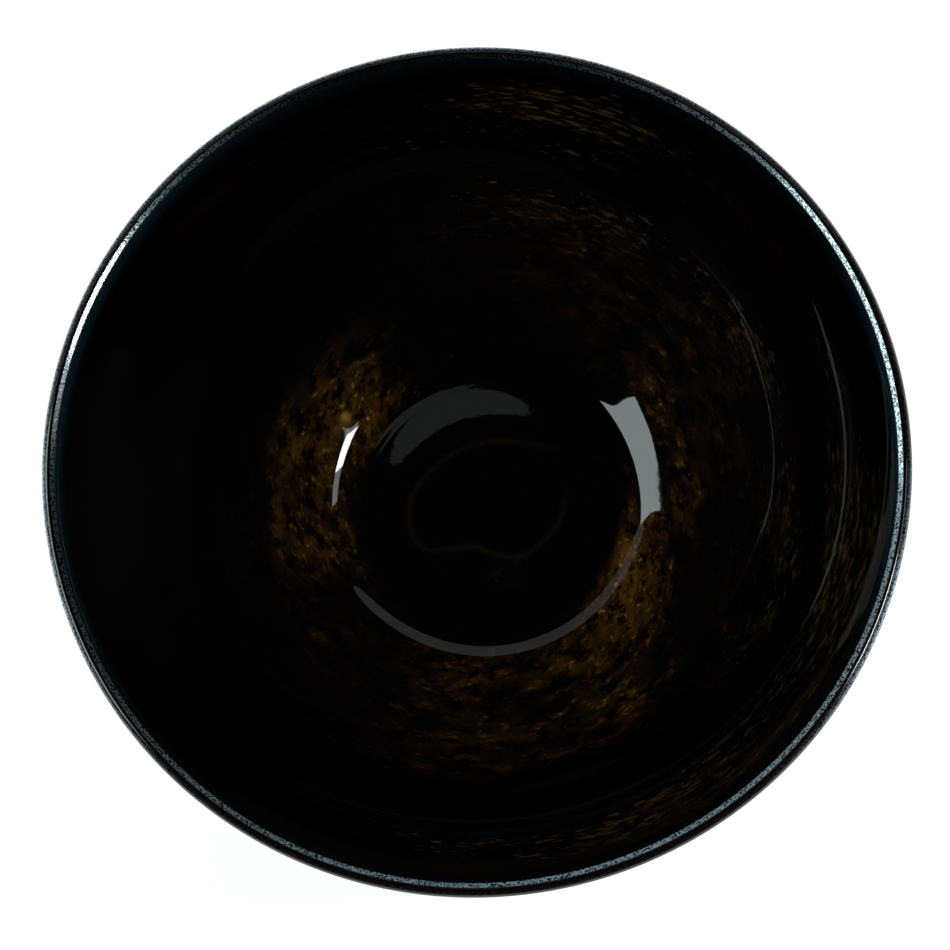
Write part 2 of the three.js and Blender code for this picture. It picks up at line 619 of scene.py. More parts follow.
    def inner_curve(self, lip_start: Vector) -> tuple[list[Vector], list[Vector], list[Vector]]:
        """Draw the inside from the axis outwards.

        Args:
            lip_start: Where the round of the lip starts.

        Returns:
            The floor, the bend and the wall.
        """
        edge = Vector((self.floor_radius, self.floor_level))
        wall_start = edge + Vector((self.bend_width, self.bend_rise))
        turn = Vector((wall_start.x - self.bend_rise / math.tan(math.radians(self.slope_low)), edge.y))
        centre = Vector((0.0, self.floor_level))
        floor = bezier([centre, centre.lerp(edge, 0.5), edge], self.floor_steps)
        bend = bezier([edge, turn, wall_start], self.bend_steps)
        return floor, bend, self.wall_curve(wall_start, lip_start, self.wall_steps)

    def outer_curve(self, lip_end: Vector) -> list[Vector]:
        """Draw the wall outside.

        Args:
            lip_end: Where the round of the lip ends.

        Returns:
            Its points from the lip down to the corner of the foot ring.
        """
        wall_start = Vector((self.floor_radius + self.bend_width, self.floor_level + self.bend_rise))
        low = wall_start + out_of(self.slope_low) * self.wall_foot
        start = low - along(self.slope_low) * ((low.x - self.foot_radius) / along(self.slope_low).x)
        blend_end = start + along(self.slope_low) * (self.foot_fillet / along(self.slope_low).x)
        blend = bezier([start - Vector((0.0, self.foot_fillet)), start, blend_end], self.foot_steps)
        run_up = bezier([blend_end, blend_end.lerp(low, 0.5), low], self.foot_steps)
        wall = self.wall_curve(low, lip_end, self.outside_steps)
        return list(reversed([*blend, *run_up[1:], *wall[1:]]))

    def foot_curve(self, corner: Vector) -> list[Vector]:
        """Draw the foot ring and the recess.

        Args:
            corner: Where the wall meets the foot ring.

        Returns:
            The points from there in to the axis.
        """
        ring_inner = self.foot_radius - self.foot_ring_width
        edge = self.foot_edge
        fillet = self.recess_fillet
        outer = arc(Vector((self.foot_radius - edge, edge)), edge, edge, 0.0, -90.0, self.foot_steps)
        inner = arc(Vector((ring_inner + edge, edge)), edge, edge, 270.0, 180.0, self.foot_steps)
        recess_centre = Vector((ring_inner - fillet, self.foot_recess - fillet))
        recess = arc(recess_centre, fillet, fillet, 0.0, 90.0, self.foot_steps)
        centre = Vector((0.0, self.foot_recess))
        side = bezier([corner, corner.lerp(outer[0], 0.5), outer[0]], 2 * self.foot_steps)
        under = bezier([recess[-1], recess[-1].lerp(centre, 0.5), centre], 5 * self.foot_steps)
        return [*side[1:], *outer[1:], *inner, *recess, *under[1:]]

    def stations(self) -> list[Station]:
        """Lay out every ring of the profile.

        Returns:
            The rings from the middle of the floor round to the middle of the underside.
        """
        inner_lip, outer_lip = self.lip_curves()
        floor, bend, wall = self.inner_curve(inner_lip[0])
        outside = self.outer_curve(outer_lip[-1])
        foot = self.foot_curve(outside[-1])
        named = [
            (Zone.FLOOR, floor),
            (Zone.BEND, bend[1:]),
            (Zone.WALL, wall[1:]),
            (Zone.LIP, [*inner_lip[1:], *outer_lip[1:]]),
            (Zone.OUTSIDE, outside[1:]),
            (Zone.FOOT, foot),
        ]
        places = [(zone, place) for zone, curve in named for place in curve]
        runs = [0.0]
        for (_, near), (_, far) in zip(places, places[1:]):
            runs.append(runs[-1] + (far - near).length)
        crown = max(range(len(places)), key=lambda i: places[i][1].y)
        return [Station(place, zone, run - runs[crown]) for (zone, place), run in zip(places, runs)]

    def turned_mesh(self) -> bmesh.types.BMesh:
        """Turn the profile once round the axis.

        Returns:
            The closed shell, each vertex marked with its zone and its run from the crown.
        """
        bm = bmesh.new()
        zone_layer = bm.verts.layers.int.new("zone")
        run_layer = bm.verts.layers.float.new("glaze_run")
        ring = []
        for station in self.stations():
            vert = bm.verts.new((station.place.x, 0.0, station.place.y))
            vert[zone_layer] = station.zone.value
            vert[run_layer] = station.run
            ring.append(vert)
        edges = [bm.edges.new(pair) for pair in zip(ring, ring[1:])]
        bmesh.ops.spin(
            bm,
            geom=[*ring, *edges],
            cent=(0.0, 0.0, 0.0),
            axis=(0.0, 0.0, 1.0),
            angle=TURN,
            steps=self.spokes,
            use_merge=True,
        )
        bmesh.ops.remove_doubles(bm, verts=bm.verts[:], dist=MERGE_DISTANCE)
        bmesh.ops.recalc_face_normals(bm, faces=bm.faces[:])
        bm.normal_update()
        return bm

    def floor_rise(self, x: float, y: float, path: list[tuple[Vector, float]]) -> float:
        """Work out how high the throwing spiral stands at a point of the floor.

        Args:
            x: The point's place along X.
            y: The point's place along Y.
            path: The points of the spiral, each with its share of the height.

        Returns:
            The share of the spiral's height, from 0 to 1.
        """
        here = Vector((x, y))
        reach = self.spiral.reach * self.spiral.width
        best = 0.0
        for point, share in path:
            away = (point - here).length
            if away < reach:
                best = max(best, share * bell(away, 0.0, self.spiral.width))
        return best

    def dish(self, radius: float, angle: float) -> float:
        """Work out how far the floor and the bend stand off the plain profile.

        The floor is dished. At its edge the glaze runs on into the bend without a break, save on the
        side where it pooled and left a soft crease.

        Args:
            radius: Distance from the axis.
            angle: Direction in degrees.

        Returns:
            The rise, below zero on the floor.
        """
        brim = self.floor_radius - self.pool_radius
        if radius < self.floor_radius:
            pool = self.dish_fall * ((radius / self.floor_radius) ** 2 - 1.0)
            rim = self.pool_rim * (max(0.0, radius - self.pool_radius) / brim) ** 2
            return pool + rim - self.pool_rim
        reach = self.bend_hold * self.bend_width
        share = min(1.0, (radius - self.floor_radius) / reach)
        edge_slope = 2.0 * self.dish_fall / self.floor_radius + 2.0 * self.pool_rim / brim
        smoothness = 1.0 - lobe(angle, self.bend_kink, self.kink_spread)
        return edge_slope * reach * share * (1.0 - share) ** 2 * smoothness

    def glaze_line(self, angle: float) -> float:
        """Work out how high the glaze stops on the foot.

        Args:
            angle: Direction in degrees.

        Returns:
            The height of its edge above the table.
        """
        turn = math.radians(angle)
        waver = sum(part * math.sin(count * turn + phase) for part, count, phase in self.glaze_waves)
        return self.glaze_stop + self.glaze_waver * waver

    def relief(self, zone: Zone, run: float, radius: float, height: float, angle: float) -> float:
        """Work out how far the surface stands out of the plain profile.

        Args:
            zone: The stretch of the profile.
            run: Distance from the crown of the lip along the surface.
            radius: Distance from the axis.
            height: Height above the table.
            angle: Direction in degrees, clockwise from +X as seen from above.

        Returns:
            The distance along the outward normal, in metres.
        """
        if zone in (Zone.FLOOR, Zone.BEND):
            return self.dish(radius, angle)
        if zone is Zone.WALL:
            shoulder = self.shoulder_rise * smooth(radius, self.shoulder_start, self.shoulder_top)
            shoulder *= smooth(radius, self.shoulder_gone, self.shoulder_top)
            fade = smooth(radius, *self.throwing_from) * smooth(radius, *self.throwing_to)
            phase = TURN * (run / self.throwing_pitch) + math.radians(angle)
            return self.throwing_depth * math.sin(phase) * fade + shoulder
        if zone is Zone.OUTSIDE:
            low_down = smooth(height, *self.turned_below)
            phase = TURN * (run / self.turning_pitch) + math.radians(angle)
            soft = self.outer_waves * math.sin(TURN * run / self.throwing_pitch + math.radians(angle))
            return self.turning_depth * math.sin(phase) * low_down + soft * (1.0 - low_down)
        return 0.0

    def mark(self, vert: bmesh.types.BMVert, marks: Marks, angle: float) -> None:
        """Write down at a vertex what the finish follows there.

        Args:
            vert: The vertex, still in its place on the plain profile.
            marks: Where the marks are kept.
            angle: Its direction in degrees.
        """
        radius = math.hypot(vert.co.x, vert.co.y)
        zone = Zone(vert[marks.zone])
        run = vert[marks.run]
        vert[marks.amber] = self.amber.depth(zone, run, radius, angle)
        # The lip's silver and blue marks carry the lamps' painted highlights and their painted glow.
        vert[marks.frost] = self.lip_glaze.frost(run, angle)
        vert[marks.teal] = self.lip_glaze.teal(angle)
        dull = min(1.0, sum(patch.share(radius, angle) for patch in self.dull))
        vert[marks.dull] = dull * smooth(run, *self.dull_from)
        # The painted glint: a small spot of light put into the glaze colour on the wall.
        vert[marks.hot] = self.amber.hot(radius, angle) if zone is Zone.WALL else 0.0
        vert[marks.flow] = self.flow_place(run, radius, angle)

    def bare_share(self, height: float, angle: float) -> float:
        """Work out how bare the clay is at a place.

        Args:
            height: Height above the table.
            angle: Direction in degrees.

        Returns:
            The share of bare clay, from 0 under the glaze to 1 below its edge.
        """
        line = self.glaze_line(angle)
        return smooth(height, line + self.glaze_roll, line - self.glaze_roll)

    def build(self) -> bpy.types.Object:
        """Turn the bowl, mark what the finish follows and raise the relief.

        Returns:
            The bowl as a finished mesh object.
        """
        bm = self.turned_mesh()
        marks = Marks(bm)
        path = self.spiral.path()
        moves = []
        for vert in bm.verts:
            x, y, z = vert.co
            zone = Zone(vert[marks.zone])
            radius = math.hypot(x, y)
            angle = math.degrees(math.atan2(-y, x)) % 360.0
            self.mark(vert, marks, angle)
            rise = self.relief(zone, vert[marks.run], radius, z, angle)
            if zone is Zone.FLOOR:
                vert[marks.thin] = self.floor_rise(x, y, path)
                rise += self.spiral.height * vert[marks.thin]
            if zone is Zone.FOOT and radius <= self.foot_radius - self.foot_edge:
                vert[marks.bare] = 1.0
            else:
                vert[marks.bare] = self.bare_share(z, angle)
                rise -= self.glaze_depth * vert[marks.bare] * smooth(z, 0.0, self.foot_fade)
            moves.append((vert, vert.normal * rise, angle))
        for vert, move, angle in moves:
            vert.co += move
            stretch = 1.0 - self.out_of_round(angle) * smooth(vert.co.z, self.foot_recess, self.height)
            vert.co.x *= stretch
            vert.co.y *= stretch
        mesh = bpy.data.meshes.new("glazed_bowl")
        bm.to_mesh(mesh)
        bm.free()
        mesh.shade_smooth()
        bowl = bpy.data.objects.new("glazed_bowl", mesh)
        bpy.context.scene.collection.objects.link(bowl)
        return bowl

    def out_of_round(self, angle: float) -> float:
        """Work out how far the rim falls short of a true circle.

        Args:
            angle: Direction in degrees.

        Returns:
            The share of its radius that is missing there.
        """
        turn = math.radians(angle - self.oval_long)
        twice, thrice, five = self.oval_waves
        waves = twice * math.cos(2.0 * turn) + thrice * math.sin(3.0 * turn)
        waves += five * math.sin(5.0 * turn)
        return self.oval_share * (1.0 - waves)

    def flow_place(self, run: float, radius: float, angle: float) -> Vector:
        """Lay a point of the glaze out where its flecks are even.

        Near the floor the flecks are round. Up the wall they are drawn out along the turning, so the
        circle that they are laid out on shrinks, and they lean a little as the wheel dragged them.

        Args:
            run: Distance from the crown of the lip along the surface.
            radius: Distance from the axis.
            angle: Direction in degrees.

        Returns:
            The place in the even layout.
        """
        near, far = self.flow_span
        drawn = smooth(radius, near * self.floor_radius, far * self.rim_radius)
        ring = radius * (1.0 - self.flow_draw * drawn)
        turn = math.radians(angle) + drawn * run * self.flow_lean / self.rim_radius
        return Vector((ring * math.cos(turn), ring * math.sin(turn), run))

    def dress(self, bowl: bpy.types.Object, material: bpy.types.Material) -> None:
        """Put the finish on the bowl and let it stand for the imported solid.

        Args:
            bowl: The bowl.
            material: Its finish.
        """
        bowl.data.materials.append(material)
        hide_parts(self.node)
        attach(bowl, "root")


class Sketch:
    """Adds nodes to a shader tree one after another and joins them."""

    def __init__(self, tree: bpy.types.NodeTree) -> None:
        """Start on a tree.

        Args:
            tree: The tree to add to.
        """
        self.tree = tree

    def add(self, kind: str, feeds: dict | None = None, **settings: object) -> bpy.types.Node:
        """Add one node.

        Args:
            kind: The node's type name.
            feeds: What each input takes, by name or number: a socket or a plain value.
            settings: The node's own properties.

        Returns:
            The new node.
        """
        node = self.tree.nodes.new(kind)
        for name, value in settings.items():
            setattr(node, name, value)
        for name, value in (feeds or {}).items():
            self.feed(node.inputs[name], value)
        return node

    def feed(self, socket: Socket, value: Feed) -> None:
        """Join a socket to an input, or set the input to a plain value.

        Args:
            socket: The input.
            value: What it takes.
        """
        if isinstance(value, Socket):
            self.tree.links.new(value, socket)
        else:
            socket.default_value = value

    def maths(self, operation: str, first: Feed, second: Feed = 0.0) -> Socket:
        """Work out one value from one or two."""
        return self.add("ShaderNodeMath", {0: first, 1: second}, operation=operation).outputs[0]

    def grade(self, value: Feed, low: Feed, high: Feed, start: float = 0.0, end: float = 1.0) -> Socket:
        """Ease a value from one range to another and hold it at the ends.

        Args:
            value: The value to grade.
            low: Where the step starts.
            high: Where it ends; it may lie below low.
            start: What is given at the start.
            end: What is given at the end.

        Returns:
            The graded value.
        """
        feeds = {"Value": value, "From Min": low, "From Max": high, "To Min": start, "To Max": end}
        return self.add("ShaderNodeMapRange", feeds, interpolation_type="SMOOTHSTEP").outputs["Result"]

    def noise(self, place: Socket, scale: Feed, detail: float = 2.0, roughness: float = 0.5) -> Socket:
        """Give a cloudy value between 0 and 1.

        Args:
            place: Where it is looked up.
            scale: Clouds to the metre, roughly.
            detail: How many finer clouds lie in it.
            roughness: How strong the finer clouds are.

        Returns:
            The cloudy value.
        """
        feeds = {"Vector": place, "Scale": scale, "Detail": detail, "Roughness": roughness}
        return self.add("ShaderNodeTexNoise", feeds).outputs["Fac"]

    def blend(self, share: Feed, low: Feed, high: Feed) -> Socket:
        """Mix two colours.

        Args:
            share: How much of the second shows.
            low: The first colour.
            high: The second colour.

        Returns:
            The mixed colour.
        """
        node = self.add("ShaderNodeMix", data_type="RGBA")
        for name, value in (("Factor_Float", share), ("A_Color", low), ("B_Color", high)):
            socket = next(s for s in node.inputs if s.identifier == name)
            self.feed(socket, value)
        return next(s for s in node.outputs if s.identifier == "Result_Color")

    def mark(self, name: str) -> Socket:
        """Read one of the marks that the mesh carries."""
        return self.add("ShaderNodeAttribute", attribute_name=name).outputs["Fac"]


@dataclass(frozen=True)
class Colour:
    """A colour in linear light.

    Attributes:
        red: Its red, from 0 to 1.
        green: Its green.
        blue: Its blue.
    """

    red: float
    green: float
    blue: float

    def value(self) -> tuple[float, float, float, float]:
        """Give the colour as a shader takes it."""
        return (self.red, self.green, self.blue, 1.0)


@dataclass(frozen=True)
class Flecks:
    """Flecks of one size. All of them share one node group.

    Attributes:
        scale: Flecks to the metre, roughly.
        softness: How softly a fleck starts.
    """

    scale: float
    softness: float

    def tree(self) -> bpy.types.NodeTree:
        """Find the shared group, or make it.

        Returns:
            A group that takes a place, a size and the threshold of the flecks, and gives their mask.
        """
        made = bpy.data.node_groups.get(FLECK_GROUP)
        if made:
            return made
        tree = bpy.data.node_groups.new(FLECK_GROUP, "ShaderNodeTree")
        tree.interface.new_socket("Place", in_out="INPUT", socket_type="NodeSocketVector")
        for name in ("Scale", "Threshold", "Softness"):
            tree.interface.new_socket(name, in_out="INPUT", socket_type="NodeSocketFloat")
        tree.interface.new_socket("Mask", in_out="OUTPUT", socket_type="NodeSocketFloat")
        sketch = Sketch(tree)
        given = sketch.add("NodeGroupInput").outputs
        cloud = sketch.noise(given["Place"], given["Scale"], FLECK_DETAIL, FLECK_BREAKUP)
        top = sketch.maths("ADD", given["Threshold"], given["Softness"])
        sketch.add("NodeGroupOutput", {"Mask": sketch.grade(cloud, given["Threshold"], top)})
        return tree

    def mask(self, sketch: Sketch, place: Socket, threshold: Feed) -> Socket:
        """Mask the flecks in a material.

        Args:
            sketch: The material's sketch.
            place: The place in the bowl.
            threshold: The cloudy value above which a fleck starts.

        Returns:
            The mask.
        """
        feeds = {"Place": place, "Scale": self.scale, "Threshold": threshold, "Softness": self.softness}
        node = sketch.add("ShaderNodeGroup", node_tree=self.tree())
        for name, value in feeds.items():
            sketch.feed(node.inputs[name], value)
        return node.outputs["Mask"]


@dataclass(frozen=True)
class Grade:
    """A value eased from one range to another and held at the ends.

    Attributes:
        low: Where the step starts.
        high: Where it ends; it may lie below low.
        start: What is given at the start.
        end: What is given at the end.
    """

    low: float
    high: float
    start: float = 0.0
    end: float = 1.0

    def of(self, sketch: Sketch, value: Socket) -> Socket:
        """Grade a value in a material."""
        return sketch.grade(value, self.low, self.high, self.start, self.end)


@dataclass(frozen=True)
class Cloud:
    """Cloudy noise, graded.

    Attributes:
        scale: Clouds to the metre, roughly.
        grade: How the noise is graded.
        detail: How many finer clouds lie in it.
        roughness: How strong the finer clouds are.
    """

    scale: float
    grade: Grade
    detail: float = 2.0
    roughness: float = 0.5

    def mask(self, sketch: Sketch, place: Socket) -> Socket:
        """Mask the clouds in a material."""
        return self.grade.of(sketch, sketch.noise(place, self.scale, self.detail, self.roughness))


@dataclass(frozen=True)
class Band:
    """A band round the bowl, by its distance from the crown of the lip, negative on the inside.

    Attributes:
        starts: Where it starts.
        full_from: Where it is full.
        full_to: Where it stops being full.
        gone: Where it has gone.
    """

    starts: float
    full_from: float
    full_to: float
    gone: float

    def mask(self, sketch: Sketch, run: Socket) -> Socket:
        """Mask the band in a material."""
        rise = sketch.grade(run, self.starts, self.full_from)
        return sketch.maths("MULTIPLY", rise, sketch.grade(run, self.gone, self.full_to))


@dataclass(frozen=True)
class StonewareFinish:
    """The finish of the bowl: near-black glaze with amber flecks, a silver lip and a bare foot, with a
    glint and the lamps' highlights on the lip painted in.

    The colours come first, then how rough each stretch is, and then the clouds, flecks and bands
    that they follow. How far a mark shows is graded by the depth of the amber or by the run.
    """

    black: Colour = Colour(0.0004, 0.00035, 0.0004)
    haze: Colour = Colour(0.104, 0.049, 0.006)
    amber: Colour = Colour(0.062, 0.0285, 0.003)
    honey: Colour = Colour(0.4, 0.225, 0.05)
    # The colour of the painted glint on the wall.
    hot: Colour = Colour(0.9, 0.46, 0.1)
    rust: Colour = Colour(0.06, 0.0195, 0.0024)
    streak: Colour = Colour(0.075, 0.042, 0.01)
    spiral: Colour = Colour(0.0105, 0.0062, 0.0012)
    # The silver of the lip: a dark ground and near-white specks, which also paint the lamps' highlights
    # and a sheen on the lip.
    frost: Colour = Colour(0.014, 0.026, 0.031)
    frost_glow: Colour = Colour(0.68, 0.9, 1.0)
    # The blue inside the lip: a faint real break, and the colour of the painted glow beside the lamps'
    # highlights.
    teal: Colour = Colour(0.012, 0.036, 0.048)
    lip_brown: Colour = Colour(0.0085, 0.0036, 0.0022)
    clay: Colour = Colour(0.052, 0.036, 0.028)
    clay_pale: Colour = Colour(0.105, 0.075, 0.058)

    glaze_roughness: float = 0.03
    frost_roughness: float = 0.045
    edge_roughness: float = 0.34
    dull_roughness: float = 0.4
    clay_roughness: float = 0.85
    clay_edge: Grade = Grade(0.2, 0.8)
    frost_metal: Grade = Grade(0.0, 1.0, 0.14, 0.42)
    dull_metal: float = 0.85
    glaze_refraction: float = 1.5

    drifts: Cloud = Cloud(90.0, Grade(0.3, 0.7, 0.5, 1.2), 3.0, 0.6)
    red_drifts: Cloud = Cloud(120.0, Grade(0.42, 0.62))
    red_reach: Grade = Grade(-70.0 * MM, -34.0 * MM, 0.0, 0.75)
    mottle: Cloud = Cloud(300.0, Grade(0.4, 0.62, 0.04, 1.0), 3.0, 0.65)
    haze_depth: float = 0.3
    soft_flecks: Flecks = Flecks(400.0, 0.22)
    fine_flecks: Flecks = Flecks(1150.0, 0.24)
    fleck_start: Grade = Grade(0.0, 0.85, 0.61, 0.44)
    fleck_depth: Grade = Grade(0.0, 0.95, 0.3, 1.0)
    fine_start: float = 0.06
    fine_breaks: Grade = Grade(0.0, 1.0, 0.35, 1.0)
    cores: Cloud = Cloud(820.0, Grade(0.52, 0.8), 3.0, 0.6)
    glint_breaks: Grade = Grade(0.0, 0.3, 0.5, 1.0)
    streaks: Flecks = Flecks(1050.0, 0.14)
    streak_start: Grade = Grade(0.0, 0.5, 0.74, 0.5)
    streak_reach: Grade = Grade(-52.0 * MM, -30.0 * MM)

    # The bands of the lip. The silver on the bevel and over the outer edge carries painted highlights of
    # the lamps.
    bevel: Band = Band(-1.5 * MM, -1.2 * MM, -0.45 * MM, -0.2 * MM)
    outer_frost: Band = Band(0.1 * MM, 1.7 * MM, 2.6 * MM, 3.6 * MM)
    worn_edge: Band = Band(-0.3 * MM, 0.1 * MM, 1.6 * MM, 4.0 * MM)
    matt_edge: Band = Band(1.2 * MM, 2.2 * MM, 4.0 * MM, 9.0 * MM)
    blue_breath: Band = Band(-6.2 * MM, -2.4 * MM, -1.5 * MM, -1.2 * MM)
    grain: Flecks = Flecks(2300.0, 0.2)
    grain_start: float = 0.4
    frost_breaks: Grade = Grade(0.0, 1.0, 0.6, 1.0)
    blue_breaks: Grade = Grade(0.0, 1.0, 0.5, 1.0)
    wear: Cloud = Cloud(700.0, Grade(0.35, 0.7, 0.35, 1.0), 3.0)
    specks: Cloud = Cloud(2400.0, Grade(0.41, 0.55))
    clay_cloud: Cloud = Cloud(420.0, Grade(0.35, 0.7), 4.0)

    bump_height: float = 0.12 * MM
    grit_scale: float = 1900.0
    grit_detail: float = 3.0
    speck_height: float = 0.07
    ripple_scale: float = 360.0
    ripple_height: float = 0.035

    def material(self) -> bpy.types.Material:
        """Make the material.

        Returns:
            The finished material.
        """
        material = bpy.data.materials.new("black_amber_glaze")
        material.use_nodes = True
        material.node_tree.nodes.clear()
        sketch = Sketch(material.node_tree)
        place = sketch.add("ShaderNodeTexCoord").outputs["Object"]
        run = sketch.mark("glaze_run")
        bare = sketch.mark("bare_clay")
        dull = sketch.mark("dull_glaze")
        speck = self.specks.mask(sketch, place)
        bevel, frost_and_highlights, edge, blue = self.lip(sketch, place, run)

        glaze = sketch.blend(edge, self.body(sketch, run), self.lip_brown.value())
        # Blue inside the lip, with the painted glow beside the lamps' highlights.
        glaze = sketch.blend(blue, glaze, self.teal.value())
        # The silver, with the lamps' highlights painted into it.
        silver = sketch.blend(speck, self.frost.value(), self.frost_glow.value())
        glaze = sketch.blend(frost_and_highlights, glaze, silver)
        clay_cloud = self.clay_cloud.mask(sketch, place)
        clay = sketch.blend(clay_cloud, self.clay.value(), self.clay_pale.value())

        rough = sketch.grade(frost_and_highlights, 0.0, 1.0, self.glaze_roughness, self.frost_roughness)
        stretches = (
            (self.matt_edge.mask(sketch, run), self.edge_roughness),
            (dull, self.dull_roughness),
            (self.clay_edge.of(sketch, bare), self.clay_roughness),
        )
        for share, roughness in stretches:
            rough = sketch.maths("MAXIMUM", rough, sketch.maths("MULTIPLY", share, roughness))
        metal = sketch.maths("MULTIPLY", frost_and_highlights, self.frost_metal.of(sketch, speck))
        metal = sketch.maths("MAXIMUM", metal, sketch.maths("MULTIPLY", dull, self.dull_metal))

        feeds = {
            "Base Color": sketch.blend(bare, glaze, clay),
            "Roughness": rough,
            "Metallic": metal,
            "IOR": self.glaze_refraction,
            "Normal": self.bump(sketch, place, bare, speck, bevel),
        }
        shader = sketch.add("ShaderNodeBsdfPrincipled", feeds)
        sketch.add("ShaderNodeOutputMaterial", {"Surface": shader.outputs["BSDF"]})
        return material

    def body(self, sketch: Sketch, run: Socket) -> Socket:
        """Colour the glaze away from the lip.

        Args:
            sketch: The material's sketch.
            run: The distance from the crown of the lip.

        Returns:
            The colour.
        """
        flow = sketch.add("ShaderNodeAttribute", attribute_name="glaze_flow").outputs["Vector"]
        density = sketch.maths("MULTIPLY", sketch.mark("amber"), self.drifts.mask(sketch, flow))
        lit = sketch.maths("MULTIPLY", sketch.maths("MULTIPLY", density, density), self.haze_depth)
        lit = sketch.maths("MULTIPLY", lit, self.mottle.mask(sketch, flow))
        body = sketch.blend(lit, self.black.value(), self.haze.value())

        start = self.fleck_start.of(sketch, density)
        shown = self.soft_flecks.mask(sketch, flow, start)
        fine = self.fine_flecks.mask(sketch, flow, sketch.maths("SUBTRACT", start, self.fine_start))
        shown = sketch.maths("MULTIPLY", shown, self.fine_breaks.of(sketch, fine))
        shown = sketch.maths("MULTIPLY", shown, self.fleck_depth.of(sketch, density))
        red = sketch.maths("MAXIMUM", self.red_drifts.mask(sketch, flow), self.red_reach.of(sketch, run))
        body = sketch.blend(shown, body, sketch.blend(red, self.amber.value(), self.rust.value()))

        core = self.cores.mask(sketch, flow)
        bright = sketch.maths("MULTIPLY", sketch.maths("MULTIPLY", core, shown), density)
        body = sketch.blend(bright, body, self.honey.value())
        # Paint the glint: a small bright orange spot of light put into the colour.
        spot = sketch.maths("MULTIPLY", sketch.mark("painted_glint"), self.glint_breaks.of(sketch, core))
        body = sketch.blend(spot, body, self.hot.value())

        streaks = self.streaks.mask(sketch, flow, self.streak_start.of(sketch, density))
        streaks = sketch.maths("MULTIPLY", streaks, self.streak_reach.of(sketch, run))
        body = sketch.blend(streaks, body, self.streak.value())
        return sketch.blend(sketch.mark("thin_glaze"), body, self.spiral.value())

    def lip(self, sketch: Sketch, place: Socket, run: Socket) -> tuple[Socket, ...]:
        """Find the bands of the lip.

        Args:
            sketch: The material's sketch.
            place: The place in the bowl.
            run: The distance from the crown of the lip.

        Returns:
            The silver bevel, all the silver with the lamps' painted highlights, the brown outer edge and
            the blue inside with its painted glow.
        """
        # The strength mark holds the silver and the lamps' painted highlights.
        strength = sketch.mark("lip_frost_and_highlights")
        grain = self.grain.mask(sketch, place, self.grain_start)
        bevel = sketch.maths("MULTIPLY", self.bevel.mask(sketch, run), strength)
        outer = sketch.maths("MULTIPLY", self.outer_frost.mask(sketch, run), strength)
        frost_and_highlights = sketch.maths("MAXIMUM", bevel, outer)
        frost_and_highlights = sketch.maths("MULTIPLY", frost_and_highlights, self.frost_breaks.of(sketch, grain))
        edge = sketch.maths("MULTIPLY", self.worn_edge.mask(sketch, run), self.wear.mask(sketch, place))
        # A faint blue break all round, and a painted glow beside the lamps' highlights.
        blue = sketch.maths("MULTIPLY", self.blue_breath.mask(sketch, run), sketch.mark("lip_teal_and_glow"))
        blue = sketch.maths("MULTIPLY", blue, self.blue_breaks.of(sketch, grain))
        return bevel, frost_and_highlights, edge, blue

    def bump(self, sketch: Sketch, place: Socket, bare: Socket, speck: Socket, bevel: Socket) -> Socket:
        """Raise the grit of the clay, the specks of the lip and a faint ripple.

        Args:
            sketch: The material's sketch.
            place: The place in the bowl.
            bare: How bare the clay is.
            speck: The specks of the frost.
            bevel: The silver bevel.

        Returns:
            The bent normal.
        """
        grit = sketch.maths("MULTIPLY", sketch.noise(place, self.grit_scale, self.grit_detail), bare)
        specks = sketch.maths("MULTIPLY", sketch.maths("MULTIPLY", speck, self.speck_height), bevel)
        ripple = sketch.maths("MULTIPLY", sketch.noise(place, self.ripple_scale), self.ripple_height)
        relief = sketch.maths("ADD", sketch.maths("ADD", grit, specks), ripple)
        feeds = {"Height": relief, "Distance": self.bump_height, "Strength": 1.0}
        return sketch.add("ShaderNodeBump", feeds).outputs["Normal"]


class LampShape(Enum):
    """The outline of a lamp's face."""

    OBLONG = "RECTANGLE"
    OVAL = "ELLIPSE"


@dataclass(frozen=True)
class Softbox:
    """One lamp behind cloth, facing the bowl.

    Attributes:
        name: What it is called.
        azimuth: Its direction from the bowl in degrees, clockwise from +X as seen from above.
        zenith: How far it stands down from straight above, in degrees.
        distance: How far it stands from the lip's plane on the axis.
        width: Its level size.
        height: Its other size.
        glow: How bright its face is.
        roll: How far it is turned about the line to the bowl, in degrees.
        shape: The outline of its face.
        tint: The colour of its light.
    """

    name: str
    azimuth: float
    zenith: float
    distance: float
    width: float
    height: float
    glow: float
    roll: float = 0.0
    shape: LampShape = LampShape.OBLONG
    tint: Colour = Colour(1.0, 1.0, 1.0)

    def build(self, target: Vector) -> bpy.types.Object:
        """Hang the lamp.

        Args:
            target: The point that it faces.

        Returns:
            The lamp.
        """
        turn = math.radians(self.azimuth)
        fall = math.radians(self.zenith)
        out = math.sin(fall)
        away = Vector((out * math.cos(turn), -out * math.sin(turn), math.cos(fall)))
        data = bpy.data.lights.new(self.name, "AREA")
        data.shape = self.shape.value
        data.color = (self.tint.red, self.tint.green, self.tint.blue)
        data.size = self.width
        data.size_y = self.height
        data.energy = self.glow * math.pi * self.width * self.height
        lamp = bpy.data.objects.new(self.name, data)
        lamp.location = target + away * self.distance
        lamp.rotation_mode = "QUATERNION"
        rolled = Quaternion((0.0, 0.0, 1.0), math.radians(self.roll))
        lamp.rotation_quaternion = away.to_track_quat("Z", "Y") @ rolled
        lamp.visible_camera = False
        bpy.context.scene.collection.objects.link(lamp)
        return lamp


